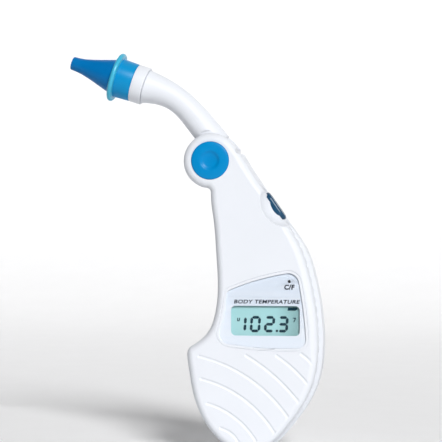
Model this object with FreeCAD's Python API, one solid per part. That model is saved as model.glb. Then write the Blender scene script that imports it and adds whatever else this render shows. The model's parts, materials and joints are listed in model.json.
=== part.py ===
"""Folding ear thermometer, built as separate pieces, one STEP file each, in millimetres.

The row frame has X to the right of the display, Y out of the back and Z up the display. Its origin is on the flat
back, behind the display window and 0.4 under its middle. Pieces are drawn about the arm's pivot and moved at export.
"""

import math
import os

import FreeCAD
import Part

# ---------------------------------------------------------------- driving dimensions
PIVOT_X = -23.4  # pivot axis in the row frame
PIVOT_Z = 66.6

WALL = 2.0  # moulded wall of the case
SEAM_Y = -14.0  # parting plane of the two case shells
SEAM_GAP = 0.12  # half of the shadow line between the shells
EDGE_ROUND = 3.1  # rounding of the front and rear edges
RIM_STEP = 1.5  # how far the rear shell stands out past the front one around the bowl

CROWN_R = 850.0  # the front face is crowned along the case
CROWN_Z = -72.0  # the thickest place, measured from the pivot
CROWN_Y = -25.0  # the front face there
BACK_BEND_Z = -50.0  # above this the back curves forward
BACK_R = 590.0

EAR_R = 11.5  # round ears that hold the pivot
EAR_IN_FRONT = -18.2  # inner face of the front ear
EAR_IN_REAR = -6.8  # inner face of the rear ear
HUB_R = 11.2
HUB_FRONT = -18.0
HUB_REAR = -7.0
POCKET_R = 11.8
ARM_Y = -12.5  # middle plane of the arm

BUTTON_R = 7.9  # round release button in the front ear
BUTTON_BORE_R = 8.0
BUTTON_FACE = -22.75  # its highest point, proud of the ear
SLEEVE_R = 4.0
SLEEVE_BORE_R = 1.6

SCAN_AT = (26.6, -18.8)  # middle of the scan button on the case's right edge
SCAN_Y = -12.4
SCAN_LONG = 13.5
SCAN_WIDE = 7.4
THUMB_R = 11.5  # the hollow for the thumb beside it
THUMB_AT = (27.2, -19.8)

WINDOW_AT = (23.4, -66.2)  # middle of the display window
WINDOW_SIZE = (28.5, 12.3)
LCD_SIZE = (30.5, 16.5)
UNIT_AT = (33.3, -50.0)  # the pin hole that switches the unit

BOARD_FRONT = -16.8
BOARD_REAR = -15.6
BOARD_CORNERS = [
    ((4.4, -16.6), 1.5),
    ((12.5, -16.6), 1.5),
    ((21.2, -24.6), 2.0),
    ((33.4, -37.0), 4.0),
    ((38.8, -52.0), 8.0),
    ((41.2, -72.0), 8.0),
    ((40.4, -86.0), 6.0),
    ((36.0, -96.0), 3.0),
    ((-3.0, -96.0), 3.0),
    ((-5.0, -82.0), 3.0),
    ((5.6, -68.0), 4.0),
    ((6.2, -50.0), 4.0),
]

CELL_AT = (17.5, -92.0)  # coin cell and its door
CELL_R = 10.0
CELL_THICK = 3.2
DOOR_R = 12.4

PROBE_ANGLE = 162.0  # direction of the probe in the XZ plane, degrees
COLLAR_AT = (-28.6, 31.6)  # middle of the neck's end, where the collar starts

CABLE_R = 0.45
FRONT_FAR = -32.0  # beyond the front and the rear of everything
REAR_FAR = 6.0

CASE_SCREWS = [(10.0, -20.0), (36.5, -84.5), (-2.6, -88.0), (16.5, -113.6)]
BOARD_SCREWS = [(9.0, -46.0), (34.0, -41.0), (6.0, -81.5), (28.0, -81.5)]

# The front shell's outline around the bowl, from the spur on the left, down, round and up the right side.
# Each point gives x, z and the share of the rim step that the rear shell has there.
BOWL = [
    (-9.2, -80.1, 0.0),
    (-8.8, -86.5, 0.2),
    (-7.4, -95.0, 0.4),
    (-4.4, -104.3, 0.7),
    (1.0, -112.9, 0.95),
    (8.0, -118.6, 1.0),
    (15.8, -120.5, 1.0),
    (24.2, -117.7, 1.0),
    (32.3, -109.5, 1.0),
    (38.9, -100.2, 1.0),
    (42.9, -91.0, 1.0),
    (44.6, -81.0, 1.0),
    (44.7, -71.5, 1.0),
    (43.6, -60.0, 1.0),
    (41.2, -48.0, 1.0),
    (37.6, -36.8, 0.8),
    (33.0, -28.2, 0.2),
    (26.6, -18.8, 0.0),
    (20.2, -9.6, 0.0),
    (14.3, -0.4, 0.0),
]
# The left side, from under the ear down to the hollow above the spur.
LEFT = [(1.4, -25.0), (2.6, -39.0), (3.3, -51.0), (2.2, -63.4), (-2.2, -72.8)]
SPUR_AT = (-5.7, -80.2)
SPUR_R = 3.8

# Grip grooves on the bowl: start, middle and end of each arc.
GROOVES = [
    ((-4.1, -81.1), (17.1, -90.3), (33.2, -106.6)),
    ((-3.2, -90.5), (14.0, -98.2), (27.0, -112.2)),
    ((-0.7, -100.6), (11.2, -106.6), (19.2, -115.6)),
    ((4.8, -110.8), (9.4, -113.1), (12.0, -116.3)),
    ((15.4, -80.5), (27.7, -89.4), (37.2, -99.6)),
    ((28.1, -80.5), (35.6, -86.4), (41.0, -92.2)),
    ((37.8, -79.4), (40.6, -81.4), (42.6, -83.6)),
]
GROOVE_R = 0.95
GROOVE_DEPTH = 0.42

# Corners of the display window's panel, with their radii.
PANEL = [((7.6, -53.8), 3.0), ((36.6, -45.4), 4.4), ((40.7, -77.6), 3.6), ((3.3, -75.6), 4.6)]
PANEL_BULGE = 0.7  # the panel's top and bottom edges bow out by this much

# Neck of the arm: middle line and half sizes, across and through.
NECK = [
    ((2.2, 6.5), 5.85, 5.2),
    ((-3.5, 13.5), 5.8, 5.25),
    ((-10.2, 21.4), 5.4, 5.2),
    ((-15.8, 26.3), 5.35, 5.25),
    ((-21.8, 29.5), 5.95, 5.9),
    (COLLAR_AT, 7.15, 7.1),
]
NECK_HEADINGS = [129.3, 129.3, 134.0, 146.0, 157.0, PROBE_ANGLE]
NECK_WALL = 1.5

Y_AXIS = FreeCAD.Vector(0, 1, 0)


# ---------------------------------------------------------------- small helpers
def vec(x, y, z):
    return FreeCAD.Vector(x, y, z)


def at(point, y=0.0):
    """A point of the XZ plane at depth y."""
    return vec(point[0], y, point[1])


def heading(degrees):
    """Unit vector in the XZ plane, measured from +X towards +Z."""
    return vec(math.cos(math.radians(degrees)), 0, math.sin(math.radians(degrees)))


def rod(radius, y0, y1, centre=(0.0, 0.0)):
    """A cylinder along Y from y0 to y1."""
    return Part.makeCylinder(radius, y1 - y0, at(centre, y0), Y_AXIS)


def tube(outer, inner, y0, y1, centre=(0.0, 0.0)):
    return rod(outer, y0, y1, centre).cut(rod(inner, y0 - 1, y1 + 1, centre))


def block(x0, x1, y0, y1, z0, z1):
    return Part.makeBox(x1 - x0, y1 - y0, z1 - z0, vec(x0, y0, z0))


def prism(face, y0, y1):
    """A face of the XZ plane at y = 0, swept from y0 to y1."""
    moved = face.copy()
    moved.translate(vec(0, y0, 0))
    return moved.extrude(vec(0, y1 - y0, 0))


def fuse(shapes):
    first, rest = shapes[0], shapes[1:]
    return first.multiFuse(rest) if rest else first


def rounded_face(corners, bulges=None):
    """A closed face from (point, radius) corners in order; bulges[i] bows the edge after corner i outwards."""
    count = len(corners)
    bulges = bulges or [0.0] * count
    trims = []
    for i, (point, radius) in enumerate(corners):
        here = at(point)
        before = (at(corners[i - 1][0]) - here).normalize()
        after = (at(corners[(i + 1) % count][0]) - here).normalize()
        half = before.getAngle(after) / 2
        reach = radius / math.tan(half)
        bisector = (before + after).normalize()
        middle = here + bisector * (radius / math.sin(half) - radius)
        trims.append((here + before * reach, middle, here + after * reach))
    edges = []
    for i, (start, middle, end) in enumerate(trims):
        edges.append(Part.Arc(start, middle, end).toShape())
        following = trims[(i + 1) % count][0]
        if bulges[i]:
            along = (following - end).normalize()
            outward = vec(-along.z, 0, along.x) * bulges[i]
            edges.append(Part.Arc(end, (end + following) * 0.5 + outward, following).toShape())
        else:
            edges.append(Part.LineSegment(end, following).toShape())
    return Part.Face(Part.Wire(edges))


def box_face(centre, width, height, radius):
    """A rectangle with rounded corners, clockwise from the top left."""
    x, z = centre
    w, h = width / 2, height / 2
    corners = [(x - w, z + h), (x + w, z + h), (x + w, z - h), (x - w, z - h)]
    return rounded_face([(c, radius) for c in corners])


def inset(face, distance):
    """The face drawn in by a distance, its offset curves turned into splines that a STEP file can hold."""
    return face.makeOffset2D(-distance).toNurbs()


def revolve(profile, origin, direction):
    """Turns a closed profile of (along, radius) points about a line from origin."""
    points = [vec(radius, 0, along) for along, radius in profile]
    face = Part.Face(Part.makePolygon(points + points[:1]))
    solid = face.revolve(vec(0, 0, 0), vec(0, 0, 1), 360)
    turn = FreeCAD.Rotation(vec(0, 0, 1), direction)
    solid.Placement = FreeCAD.Placement(origin, turn)
    return solid


def rounded_path(points):
    """Straight runs joined by the largest tangent arcs that 0.45 of the shorter run allows."""
    edges, last, radii = [], points[0], []
    for before, here, after in zip(points, points[1:], points[2:]):
        a, b = before - here, after - here
        reach = 0.45 * min(a.Length, b.Length)
        a.normalize()
        b.normalize()
        half = a.getAngle(b) / 2
        radius = reach * math.tan(half)
        radii.append(radius)
        middle = here + (a + b).normalize() * (radius / math.sin(half) - radius)
        edges.append(Part.LineSegment(last, here + a * reach).toShape())
        edges.append(Part.Arc(here + a * reach, middle, here + b * reach).toShape())
        last = here + b * reach
    edges.append(Part.LineSegment(last, points[-1]).toShape())
    return Part.Wire(edges), radii


def pipe(wire, radius, start, direction):
    ring = Part.Wire(Part.Circle(start, direction, radius).toShape())
    return wire.makePipeShell([ring], True, False)


def cable(name, points):
    wire, radii = rounded_path(points)
    solid = pipe(wire, CABLE_R, points[0], points[1] - points[0])
    share = solid.Volume / (math.pi * CABLE_R**2 * wire.Length)
    print(f"{name}: length {wire.Length:.1f}, radii {[round(r, 1) for r in radii]}, volume share {share:.3f}")
    return solid


# ---------------------------------------------------------------- the case's outline and crown
def front_y(z, depth=0.0):
    """The crowned front face, or a face this deep under it."""
    return CROWN_Y + (z - CROWN_Z) ** 2 / (2 * CROWN_R) + depth


def back_y(z, depth=0.0):
    return -max(0.0, z - BACK_BEND_Z) ** 2 / (2 * BACK_R) - depth


def case_block(front_depth=0.0, back_depth=0.0):
    """Everything between the crowned front face and the back, moved in by these depths."""
    top, bottom, x0, x1 = 22.0, -132.0, -30.0, 70.0
    middle = (top + bottom) / 2
    bend = BACK_BEND_Z
    bow = (top + bend) / 2
    points = [vec(x0, front_y(z, front_depth), z) for z in (top, middle, bottom)]
    back = [vec(x0, back_y(z, back_depth), z) for z in (bottom, bend, bow, top)]
    edges = [
        Part.Arc(*points).toShape(),
        Part.LineSegment(points[2], back[0]).toShape(),
        Part.LineSegment(back[0], back[1]).toShape(),
        Part.Arc(back[1], back[2], back[3]).toShape(),
        Part.LineSegment(back[3], points[0]).toShape(),
    ]
    return Part.Face(Part.Wire(edges)).extrude(vec(x1 - x0, 0, 0))


def bowl_curve(points, start_heading, end_heading):
    curve = Part.BSplineCurve()
    curve.interpolate(Points=points, InitialTangent=heading(start_heading), FinalTangent=heading(end_heading))
    return curve


EAR_END = 40.0  # the ear's circle runs up to this heading
BOWL_HEADINGS = (272.0, EAR_END + 90.0)


def bowl_points(rim):
    """The bowl's points, moved out by the rim step of a shell."""
    last = heading(EAR_END) * EAR_R
    base = [at(p[:2]) for p in BOWL] + [last]
    curve = bowl_curve(base, *BOWL_HEADINGS)
    moved = []
    for point, share in zip(base, [p[2] for p in BOWL] + [0.0]):
        along = vec(*curve.tangent(curve.parameter(point))[0]).normalize()
        moved.append(point + vec(along.z, 0, -along.x) * (rim * share))
    return moved


def case_outline(rim=0.0):
    """The outline of a case shell as a face, counter-clockwise from the ear's right side."""
    corner_r = 2.0
    corner = vec(-1.9, 0, -math.sqrt((EAR_R + corner_r) ** 2 - 1.9**2))
    on_ear = corner * (EAR_R / (EAR_R + corner_r))
    on_side = corner + vec(corner_r, 0, 0)
    to_middle = ((on_ear - corner).normalize() + vec(1, 0, 0)).normalize() * corner_r
    spur = at(SPUR_AT)
    spur_in = spur + heading(122.0) * SPUR_R
    spur_out = spur + heading(182.0) * SPUR_R
    side = Part.BSplineCurve()
    side.interpolate(
        Points=[on_side] + [at(p) for p in LEFT] + [spur_in],
        InitialTangent=heading(270.0),
        FinalTangent=heading(212.0),
    )
    bowl = bowl_points(rim)
    bowl[0] = spur_out
    edges = [
        Part.Arc(heading(EAR_END) * EAR_R, heading(150.0) * EAR_R, on_ear).toShape(),
        Part.Arc(on_ear, corner + to_middle, on_side).toShape(),
        side.toShape(),
        Part.Arc(spur_in, spur + heading(152.0) * SPUR_R, spur_out).toShape(),
        bowl_curve(bowl, *BOWL_HEADINGS).toShape(),
    ]
    return Part.Face(Part.Wire(edges))


def edges_on(shape, surface_y):
    """Edges whose middle lies on a surface given as y of z."""
    found = []
    for edge in shape.Edges:
        middle = edge.valueAt((edge.FirstParameter + edge.LastParameter) / 2)
        ends = [v.Point for v in edge.Vertexes]
        if all(abs(p.y - surface_y(p.z)) < 0.05 for p in [middle] + ends):
            found.append(edge)
    return found


# ---------------------------------------------------------------- scan button's own frame
def scan_place():
    """Local X runs along the case's edge, local Y through the case and local Z out of it."""
    out = heading(35.0)
    along = heading(35.0 - 90.0)
    matrix = FreeCAD.Matrix(
        along.x, 0, out.x, SCAN_AT[0], 0, 1, 0, SCAN_Y, along.z, 0, out.z, SCAN_AT[1], 0, 0, 0, 1
    )
    return FreeCAD.Placement(matrix)


def stadium(long, wide, deep_from, deep_to):
    """A slot-shaped solid in the scan button's frame, between two depths under the case's edge."""
    half = (long - wide) / 2
    r = wide / 2
    edges = [
        Part.LineSegment(vec(-half, -r, 0), vec(half, -r, 0)).toShape(),
        Part.Arc(vec(half, -r, 0), vec(half + r, 0, 0), vec(half, r, 0)).toShape(),
        Part.LineSegment(vec(half, r, 0), vec(-half, r, 0)).toShape(),
        Part.Arc(vec(-half, r, 0), vec(-half - r, 0, 0), vec(-half, -r, 0)).toShape(),
    ]
    solid = Part.Face(Part.Wire(edges)).extrude(vec(0, 0, deep_to - deep_from))
    solid.translate(vec(0, 0, -deep_to))
    return solid


def place_scan(solid):
    solid = solid.copy()
    solid.Placement = scan_place().multiply(solid.Placement)
    return solid


def thumb_ball(radius):
    """The ball that hollows the front edge beside the scan button for the thumb."""
    ball = Part.makeSphere(radius)
    ball.translate(at(THUMB_AT, -24.3) + heading(35.0) * 6.5)
    return ball


def scan_zone():
    """The stretch of the seam at the scan button, where the shells' lip and rebate stop."""
    return place_scan(Part.makeBox(23.0, 20.0, 16.0, vec(-11.5, -10.0, -12.0)))


# ---------------------------------------------------------------- case shells
def cavity(outline):
    """The room inside the case, with a wall left around the arm's pocket."""
    room = prism(inset(outline, WALL), FRONT_FAR, REAR_FAR)
    room = room.common(case_block(WALL, WALL))
    room = room.cut(rod(POCKET_R + 1.8, FRONT_FAR, REAR_FAR))
    return room.cut(thumb_ball(THUMB_R + 1.6))


def shell_cuts():
    """What is cut from both shells: the arm's pocket, the notch at the shoulder and the scan button's seat."""
    notch_line = at((11.4, 3.95))
    notch = Part.makeCylinder(1.4, 60, notch_line + heading(35.7) * 0.55 + vec(0, FRONT_FAR, 0), Y_AXIS)
    return [
        rod(POCKET_R, EAR_IN_FRONT, EAR_IN_REAR),
        notch,
        thumb_ball(THUMB_R),
        place_scan(stadium(17.8, 11.0, -4.0, 0.9)),
        place_scan(stadium(SCAN_LONG + 0.3, SCAN_WIDE + 0.3, -4.0, 5.0)),
        place_scan(stadium(17.8, SCAN_WIDE + 0.3, 2.0, 5.0)),
    ]


def panel_face(grow=0.0):
    """The display panel's outline."""
    face = rounded_face(PANEL, [PANEL_BULGE, 0.4, PANEL_BULGE, -0.5])
    return face.makeOffset2D(grow) if grow else face


def groove(start, middle, end):
    """A round-bottomed groove that follows the crowned face, with round ends."""
    arc = Part.Arc(at(start), at(middle), at(end))
    curve = Part.BSplineCurve()
    lift = GROOVE_DEPTH - GROOVE_R
    steps = 8
    first, last = arc.FirstParameter, arc.LastParameter
    points = []
    for i in range(steps + 1):
        p = arc.value(first + (last - first) * i / steps)
        points.append(vec(p.x, front_y(p.z, lift), p.z))
    curve.interpolate(points)
    along = vec(*curve.tangent(curve.FirstParameter)[0])
    body = pipe(Part.Wire(curve.toShape()), GROOVE_R, points[0], along)
    return [body, Part.makeSphere(GROOVE_R, points[0]), Part.makeSphere(GROOVE_R, points[-1])]


def grip_scallops():
    """Shallow finger scallops along the front shell's right side, deepest at the seam."""
    curve = bowl_curve(bowl_points(0.0), *BOWL_HEADINGS)
    total = curve.length()
    pitch, radius, depth, count = 4.2, 2.2, 0.4, 15
    start = total - 106.0
    cuts = []
    for i in range(count):
        parameter = curve.parameterAtDistance(start + i * pitch, curve.FirstParameter)
        point = curve.value(parameter)
        along = vec(*curve.tangent(parameter)[0]).normalize()
        out = vec(along.z, 0, -along.x)
        lean = (Y_AXIS * -6.0 + out * depth).normalize()
        foot = point + out * (radius - depth) + vec(0, SEAM_Y + 0.5, 0)
        cuts.append(Part.makeCylinder(radius, 8.0, foot, lean))
    return cuts


def front_shell(outline, room):
    blank = prism(outline, FRONT_FAR, SEAM_Y - SEAM_GAP).common(case_block())
    blank = blank.makeFillet(EDGE_ROUND, edges_on(blank, front_y))
    shell = blank.cut(room)
    solid_front = case_block(1.0, 0.0)
    posts = [rod(2.8, FRONT_FAR, SEAM_Y - SEAM_GAP, p) for p in CASE_SCREWS]
    posts += [rod(1.9, FRONT_FAR, BOARD_FRONT, p) for p in BOARD_SCREWS]
    shell = fuse([shell] + [p.common(solid_front) for p in posts])
    rebate = prism(inset(outline, WALL / 2 - 0.1), SEAM_Y - 1.4, SEAM_Y + 1)
    rebate = rebate.cut(prism(inset(outline, WALL + 0.05), SEAM_Y - 2, SEAM_Y + 2)).cut(scan_zone())
    cuts = shell_cuts() + [rebate]
    shell = shell.cut(fuse(cuts))
    rim = tube(BUTTON_R + 1.4, BUTTON_BORE_R, EAR_IN_FRONT - 0.2, EAR_IN_FRONT + 1.0)
    shell = shell.fuse(rim)
    window = box_face(WINDOW_AT, WINDOW_SIZE[0] + 1.0, WINDOW_SIZE[1] + 1.0, 2.0)
    panel_line = prism(panel_face(1.3), FRONT_FAR, -20.0).cut(prism(panel_face(1.0), FRONT_FAR, -20.0))
    panel_well = prism(panel_face(0.12), FRONT_FAR, -20.0).cut(case_block(0.95, 0.0))
    pry_slot = block(18.8, 27.2, FRONT_FAR, -24.2, -78.0, -77.0)
    holes = [rod(1.12, -22.2, SEAM_Y + 1, p) for p in CASE_SCREWS]
    holes += [rod(0.82, -21.5, BOARD_FRONT + 1, p) for p in BOARD_SCREWS]
    holes += [
        rod(BUTTON_BORE_R, FRONT_FAR, EAR_IN_FRONT + 2),
        rod(0.65, FRONT_FAR, -20.0, UNIT_AT),
        prism(window, FRONT_FAR, -20.0),
        panel_line.cut(case_block(0.25, 0.0)),
        panel_well,
        pry_slot.cut(case_block(0.8, 0.0)),
    ]
    for ends in GROOVES:
        holes += groove(*ends)
    holes += grip_scallops()
    for hole in holes:
        shell = shell.cut(hole)
    return shell


def rear_shell(outline, wide_outline, room):
    blank = prism(wide_outline, SEAM_Y + SEAM_GAP, REAR_FAR).common(case_block())
    blank = blank.makeFillet(EDGE_ROUND, edges_on(blank, back_y))
    shell = blank.cut(room)
    lip = prism(inset(outline, WALL / 2), SEAM_Y - 1.2, SEAM_Y + 1)
    lip = lip.cut(prism(inset(outline, WALL), SEAM_Y - 2, SEAM_Y + 2))
    solid_back = case_block(0.0, 1.0)
    pieces = [shell, lip.cut(rod(POCKET_R + 1.8, FRONT_FAR, REAR_FAR)).cut(scan_zone())]
    pieces += [rod(3.5, SEAM_Y + 0.1, REAR_FAR, p).common(solid_back) for p in CASE_SCREWS]
    well = tube(15.2, 13.9, -9.2, REAR_FAR, CELL_AT).common(solid_back)
    floor = tube(15.2, 3.0, -9.2, -8.0, CELL_AT)
    seat = tube(12.3, CELL_R + 0.25, -8.1, -3.5, CELL_AT)
    ledge = tube(CELL_R + 0.3, 9.0, -8.1, -6.35, CELL_AT)
    shell = fuse(pieces + [well, floor, seat, ledge])
    cuts = shell_cuts()
    cuts += [rod(2.6, -5.0, REAR_FAR, p) for p in CASE_SCREWS]
    cuts += [rod(1.4, -16.0, -4.0, p) for p in CASE_SCREWS]
    cuts += [rod(DOOR_R + 0.12, -2.3, REAR_FAR, CELL_AT)]
    for k in range(3):
        cuts.append(door_lug(120.0 * k + 50.0, 0.25, -2.3, REAR_FAR))
    cuts += [
        rod(7.4, -3.4, REAR_FAR),
        rod(6.6, -5.2, REAR_FAR),
        rod(SLEEVE_R, -10.0, REAR_FAR),
        contact_slot(),
    ]
    channel = block(-1.1, 1.1, -5.2, -3.3, -15.5, -5.5)
    channel.rotate(vec(0, 0, 0), Y_AXIS, -15.0)
    cuts.append(channel)
    for cut in cuts:
        shell = shell.cut(cut)
    return shell


# ---------------------------------------------------------------- display
def display_lens():
    plate = prism(inset(panel_face(), 0.1), FRONT_FAR, -20.0)
    plate = plate.common(case_block(0.12, 0.0)).cut(case_block(0.8, 0.0))
    return plate.cut(rod(0.65, FRONT_FAR, -20.0, UNIT_AT))


def panel_label():
    plate = prism(inset(panel_face(), 0.05), FRONT_FAR, -20.0)
    plate = plate.common(case_block(0.8, 0.0)).cut(case_block(0.95, 0.0))
    window = box_face(WINDOW_AT, *WINDOW_SIZE, 1.9)
    return plate.cut(rod(0.65, FRONT_FAR, -20.0, UNIT_AT)).cut(prism(window, FRONT_FAR, -20.0))


LCD_FRONT = -22.85
LCD_REAR = -20.7


def lcd_panel():
    return prism(box_face(WINDOW_AT, *LCD_SIZE, 0.3), LCD_FRONT, LCD_REAR)


def lcd_holder():
    outer = prism(box_face(WINDOW_AT, LCD_SIZE[0] + 3.2, LCD_SIZE[1] + 3.2, 1.0), -22.6, BOARD_FRONT)
    return outer.cut(prism(box_face(WINDOW_AT, LCD_SIZE[0] + 0.2, LCD_SIZE[1] + 0.2, 0.4), -24.0, -10.0))


def contact_strips():
    """The two striped rubber strips that join the display glass to the board."""
    strips = []
    x, z = WINDOW_AT
    for side in (-1, 1):
        middle = z + side * (LCD_SIZE[1] / 2 - 1.1)
        strips.append(block(x - 13.5, x + 13.5, LCD_REAR, BOARD_FRONT, middle - 0.8, middle + 0.8))
    return Part.makeCompound(strips)


# ---------------------------------------------------------------- electronics
def circuit_board():
    """The main board, kept clear of the screw posts."""
    board = prism(rounded_face(BOARD_CORNERS), BOARD_FRONT, BOARD_REAR)
    for point in CASE_SCREWS:
        board = board.cut(rod(3.2, -30, 0, point))
    for point in BOARD_SCREWS:
        board = board.cut(rod(1.0, -30, 0, point))
    return board


def scan_switch():
    body = Part.makeBox(6.2, 4.6, 3.4, vec(-3.1, -3.2, -8.4))
    bore = Part.makeCylinder(1.1, 1.4, vec(0, 0, -6.4), vec(0, 0, 1))
    return place_scan(body.cut(bore))


def scan_switch_plunger():
    return place_scan(Part.makeCylinder(1.0, 1.2, vec(0, 0, -5.2), vec(0, 0, 1)))


def scan_button():
    cap = stadium(SCAN_LONG, SCAN_WIDE, -0.9, 2.1)
    top = [e for e in cap.Edges if all(v.Point.z > 0.8 for v in e.Vertexes)]
    cap = cap.makeFillet(1.1, top)
    flange = stadium(17.0, 6.8, 2.1, 3.0)
    post = Part.makeCylinder(1.5, 1.0, vec(0, 0, -4.0), vec(0, 0, 1))
    return place_scan(fuse([cap, flange, post]))


def unit_switch():
    x, z = UNIT_AT
    body = block(x - 2.25, x + 2.25, -20.4, BOARD_FRONT, z - 2.25, z + 2.25)
    return body.cut(rod(0.9, -21.0, -19.6, UNIT_AT))


def unit_plunger():
    return rod(0.8, -21.6, -20.0, UNIT_AT).fuse(rod(0.5, -24.2, -21.6, UNIT_AT))


def buzzer():
    return tube(6.0, 1.0, BOARD_REAR, -11.6, (18.0, -42.0))


def controller_chip():
    """The controller under its round drop of resin."""
    drop = rod(4.6, BOARD_REAR, -13.9, (25.0, -62.0))
    return drop.makeFillet(1.4, [e for e in drop.Edges if abs(e.Vertexes[0].Point.y + 13.9) < 0.01])


def small_chips():
    """Amplifier, memory and regulator, each a flat box on the board's rear."""
    places = [(10.5, -60.0, 5.0, 4.0, 1.5), (36.0, -60.5, 4.0, 5.0, 1.5), (12.0, -53.0, 3.0, 3.0, 1.1)]
    chips = []
    for x, z, w, h, t in places:
        chips.append(block(x - w / 2, x + w / 2, BOARD_REAR, BOARD_REAR + t, z - h / 2, z + h / 2))
    return Part.makeCompound(chips)


def passives():
    """Two rows of resistors and capacitors."""
    pieces = []
    for i in range(6):
        x = 15.0 + 3.1 * i
        pieces.append(block(x - 0.8, x + 0.8, BOARD_REAR, BOARD_REAR + 0.6, -51.2, -50.4))
        pieces.append(block(x - 0.6, x + 0.6, BOARD_REAR, BOARD_REAR + 0.7, -74.4, -73.2))
    return Part.makeCompound(pieces)


def cable_socket():
    return block(6.4, 12.6, BOARD_REAR, -12.0, -36.0, -31.6)


def cable_plug():
    return block(7.0, 12.0, BOARD_REAR + 0.2, -12.3, -31.6, -28.8)


# ---------------------------------------------------------------- coin cell, contacts and door
def coin_cell():
    can = rod(CELL_R, -6.3, -6.3 + CELL_THICK, CELL_AT)
    can = can.makeFillet(0.5, [e for e in can.Edges if abs(e.Vertexes[0].Point.y + 3.1) < 0.01])
    return can


def contact_slot():
    x, z = CELL_AT
    return block(x + 9.9, x + 11.6, -9.6, -3.4, z - 2.2, z + 2.2)


def side_contact():
    """Strip that touches the cell's side and runs down to the board."""
    x, z = CELL_AT
    strip = block(x + 10.02, x + 10.3, BOARD_REAR + 0.02, -4.0, z - 1.8, z + 1.8)
    foot = block(x + 6.6, x + 10.3, BOARD_REAR + 0.02, BOARD_REAR + 0.3, z - 1.8, z + 1.8)
    return strip.fuse(foot)


def face_contact():
    """Sprung leaf under the cell, with its tail down through the well's floor."""
    x, z = CELL_AT
    wide = 3.0
    start, top, end = (x - 6.5, -7.7), (x - 1.0, -6.45), (x + 2.4, -7.6)
    thick = 0.25

    def leaf_edge(shift):
        points = [vec(p[0], p[1] - shift, z - wide / 2) for p in (start, top, end)]
        return points

    low, high = leaf_edge(thick), leaf_edge(0.0)
    edges = [
        Part.Arc(*high).toShape(),
        Part.LineSegment(high[2], low[2]).toShape(),
        Part.Arc(low[2], low[1], low[0]).toShape(),
        Part.LineSegment(low[0], high[0]).toShape(),
    ]
    leaf = Part.Face(Part.Wire(edges)).extrude(vec(0, 0, wide))
    tail = block(x + 2.1, x + 2.38, BOARD_REAR + 0.02, -7.6, z - 1.2, z + 1.2)
    return leaf.fuse(tail)


def door_lug(middle, spare, y0, y1):
    """One bayonet lug of the cell door; spare widens it into the notch that lets it in."""
    lug = tube(13.5 + spare, 11.9, y0, y1, CELL_AT)
    x, z = CELL_AT
    half = math.radians(11.0 + 4.0 * spare)
    reach = 40.0
    a, b = math.radians(middle) - half, math.radians(middle) + half
    wedge = Part.makePolygon(
        [
            vec(x, y0 - 1, z),
            vec(x + reach * math.cos(a), y0 - 1, z + reach * math.sin(a)),
            vec(x + reach * math.cos(b), y0 - 1, z + reach * math.sin(b)),
            vec(x, y0 - 1, z),
        ]
    )
    return lug.common(Part.Face(wedge).extrude(vec(0, y1 - y0 + 2, 0)))


def cell_door():
    plate = rod(DOOR_R, -1.6, -0.1, CELL_AT)
    rim_edge = [e for e in plate.Edges if abs(e.Vertexes[0].Point.y + 0.1) < 0.01]
    plate = plate.makeFillet(0.35, rim_edge)
    skirt = tube(DOOR_R, 11.5, -3.1, -1.5, CELL_AT)
    lugs = [door_lug(120.0 * k + 90.0, 0.0, -3.1, -2.4) for k in range(3)]
    press = tube(6.0, 5.0, -2.95, -1.5, CELL_AT)
    door = fuse([plate, skirt, press] + lugs)
    x, z = CELL_AT
    slot = block(x - 8.5, x + 8.5, -0.9, 1.0, z - 0.95, z + 0.95)
    return door.cut(slot)


def cell_door_seal():
    return tube(12.3, 11.6, -3.5, -3.15, CELL_AT)


# ---------------------------------------------------------------- pivot
def lock_button():
    """The round button: a cup with a domed face, a finger dish and a flange that holds it in the ear."""
    face, dish, rim = BUTTON_FACE, BUTTON_FACE + 0.85, BUTTON_FACE + 0.62
    ceiling, seat, foot = -19.9, -17.1, -16.1
    profile = Part.Wire(
        [
            Part.Arc(vec(0, dish, 0), vec(1.8, dish - 0.1, 0), vec(3.5, dish - 0.42, 0)).toShape(),
            Part.Arc(vec(3.5, dish - 0.42, 0), vec(3.95, face + 0.14, 0), vec(4.6, face, 0)).toShape(),
            Part.Arc(vec(4.6, face, 0), vec(6.1, face + 0.05, 0), vec(7.5, face + 0.22, 0)).toShape(),
            Part.Arc(vec(7.5, face + 0.22, 0), vec(7.79, face + 0.35, 0), vec(BUTTON_R, rim, 0)).toShape(),
            Part.LineSegment(vec(BUTTON_R, rim, 0), vec(BUTTON_R, seat, 0)).toShape(),
            Part.LineSegment(vec(BUTTON_R, seat, 0), vec(9.0, seat, 0)).toShape(),
            Part.LineSegment(vec(9.0, seat, 0), vec(9.0, foot, 0)).toShape(),
            Part.LineSegment(vec(9.0, foot, 0), vec(6.6, foot, 0)).toShape(),
            Part.LineSegment(vec(6.6, foot, 0), vec(6.6, ceiling, 0)).toShape(),
            Part.LineSegment(vec(6.6, ceiling, 0), vec(0, ceiling, 0)).toShape(),
            Part.LineSegment(vec(0, ceiling, 0), vec(0, dish, 0)).toShape(),
        ]
    )
    return Part.Face(profile).revolve(vec(0, 0, 0), Y_AXIS, 360)


def lock_spring():
    """The button's coil spring, each turn made of short straight runs and tangent arcs."""
    low, high, radius, wire_r = -19.85, -14.75, 5.0, 0.38
    turns, per_turn = 3.5, 12
    count = int(turns * per_turn)
    rise = (high - low - 2 * wire_r) / count
    points = []
    for i in range(count + 1):
        angle = math.tau * i / per_turn
        points.append(vec(radius * math.cos(angle), low + wire_r + rise * i, radius * math.sin(angle)))
    wire, _ = rounded_path(points)
    return pipe(wire, wire_r, points[0], points[1] - points[0])


def pivot_sleeve():
    return tube(SLEEVE_R, SLEEVE_BORE_R, -10.8, -5.2)


def pivot_washer():
    return tube(8.6, SLEEVE_R + 0.1, -6.98, -6.82)


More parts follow.
